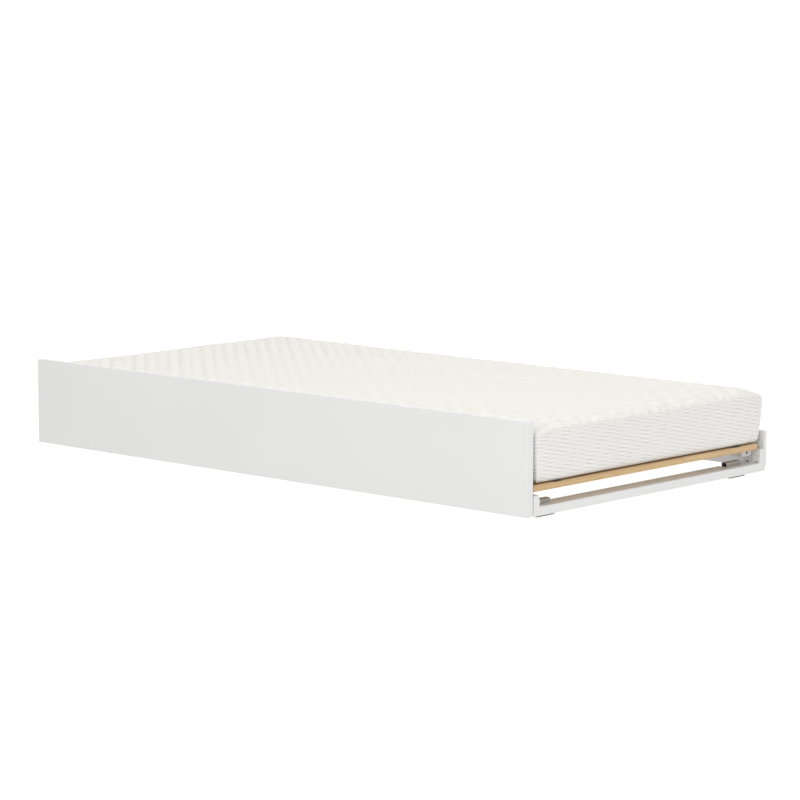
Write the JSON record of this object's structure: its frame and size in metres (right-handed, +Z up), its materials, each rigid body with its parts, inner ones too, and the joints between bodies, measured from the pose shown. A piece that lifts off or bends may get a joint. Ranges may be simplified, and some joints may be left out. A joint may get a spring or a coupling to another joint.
{
  "type": "trundle bed",
  "caption": "Low trundle bed on castors with a tall front panel, a low back panel, a slatted base strung on webbing and a loose mattress.",
  "frame": {"origin": "on the floor under the middle of the bed, at the bottom centre of its box", "axes": "+X along the bed's length, +Y from the tall front panel to the low back panel, +Z up"},
  "size_m": [1.92, 1.046, 0.262],
  "materials": {
    "lacquer": "satin",
    "pine": "matte",
    "webbing": "matte",
    "ticking": "matte",
    "steel": "satin",
    "zinc": "satin",
    "white_steel": "satin",
    "black_steel": "satin",
    "nylon": "matte"
  },
  "bodies": {
    "frame": {"front_panel": "lacquer", "back_panel": "lacquer", "front_rail": "lacquer", "back_rail": "lacquer", "front_slat_ledge": "lacquer", "back_slat_ledge": "lacquer", "cross_batten_left_end": "lacquer", "cross_batten_left_middle": "lacquer", "cross_batten_right_middle": "lacquer", "cross_batten_right_end": "lacquer", "slat_01": "pine", "slat_02": "pine", "slat_03": "pine", "slat_04": "pine", "slat_05": "pine", "slat_06": "pine", "slat_07": "pine", "slat_08": "pine", "slat_09": "pine", "slat_10": "pine", "slat_11": "pine", "slat_12": "pine", "slat_13": "pine", "front_webbing_strap": "webbing", "back_webbing_strap": "webbing", "castor_housing_front_right": "steel", "castor_axle_front_right": "zinc", "castor_housing_front_left": "steel", "castor_axle_front_left": "zinc", "castor_housing_back_right": "steel", "castor_axle_back_right": "zinc", "castor_housing_back_left": "steel", "castor_axle_back_left": "zinc", "corner_bracket_front_right": "white_steel", "bracket_screw_front_right_a": "black_steel", "castor_screw_front_right_a": "zinc", "bracket_screw_front_right_b": "black_steel", "castor_screw_front_right_b": "zinc", "corner_bracket_front_left": "white_steel", "bracket_screw_front_left_a": "black_steel", "castor_screw_front_left_a": "zinc", "bracket_screw_front_left_b": "black_steel", "castor_screw_front_left_b": "zinc", "corner_bracket_back_right": "white_steel", "bracket_screw_back_right_a": "black_steel", "castor_screw_back_right_a": "zinc", "bracket_screw_back_right_b": "black_steel", "castor_screw_back_right_b": "zinc", "corner_bracket_back_left": "white_steel", "bracket_screw_back_left_a": "black_steel", "castor_screw_back_left_a": "zinc", "bracket_screw_back_left_b": "black_steel", "castor_screw_back_left_b": "zinc"},
    "mattress": {"mattress": "ticking"},
    "wheel_front_right": {"castor_wheel_front_right": "nylon"},
    "wheel_front_left": {"castor_wheel_front_left": "nylon"},
    "wheel_back_right": {"castor_wheel_back_right": "nylon"},
    "wheel_back_left": {"castor_wheel_back_left": "nylon"}
  },
  "joints": [
    {"name": "mattress_lift", "type": "slide", "parent": "frame", "child": "mattress", "axis": [0, 0, 1], "range_m": [0, 0.3]},
    {"name": "wheel_spin_front_right", "type": "hinge", "parent": "frame", "child": "wheel_front_right", "pos_m": [0.9215, -0.4285, 0.0225], "axis": [1, 0, 0], "continuous": true},
    {"name": "wheel_spin_front_left", "type": "hinge", "parent": "frame", "child": "wheel_front_left", "pos_m": [-0.9215, -0.4285, 0.0225], "axis": [1, 0, 0], "continuous": true},
    {"name": "wheel_spin_back_right", "type": "hinge", "parent": "frame", "child": "wheel_back_right", "pos_m": [0.9215, 0.4075, 0.0225], "axis": [1, 0, 0], "continuous": true},
    {"name": "wheel_spin_back_left", "type": "hinge", "parent": "frame", "child": "wheel_back_left", "pos_m": [-0.9215, 0.4075, 0.0225], "axis": [1, 0, 0], "continuous": true}
  ]
}
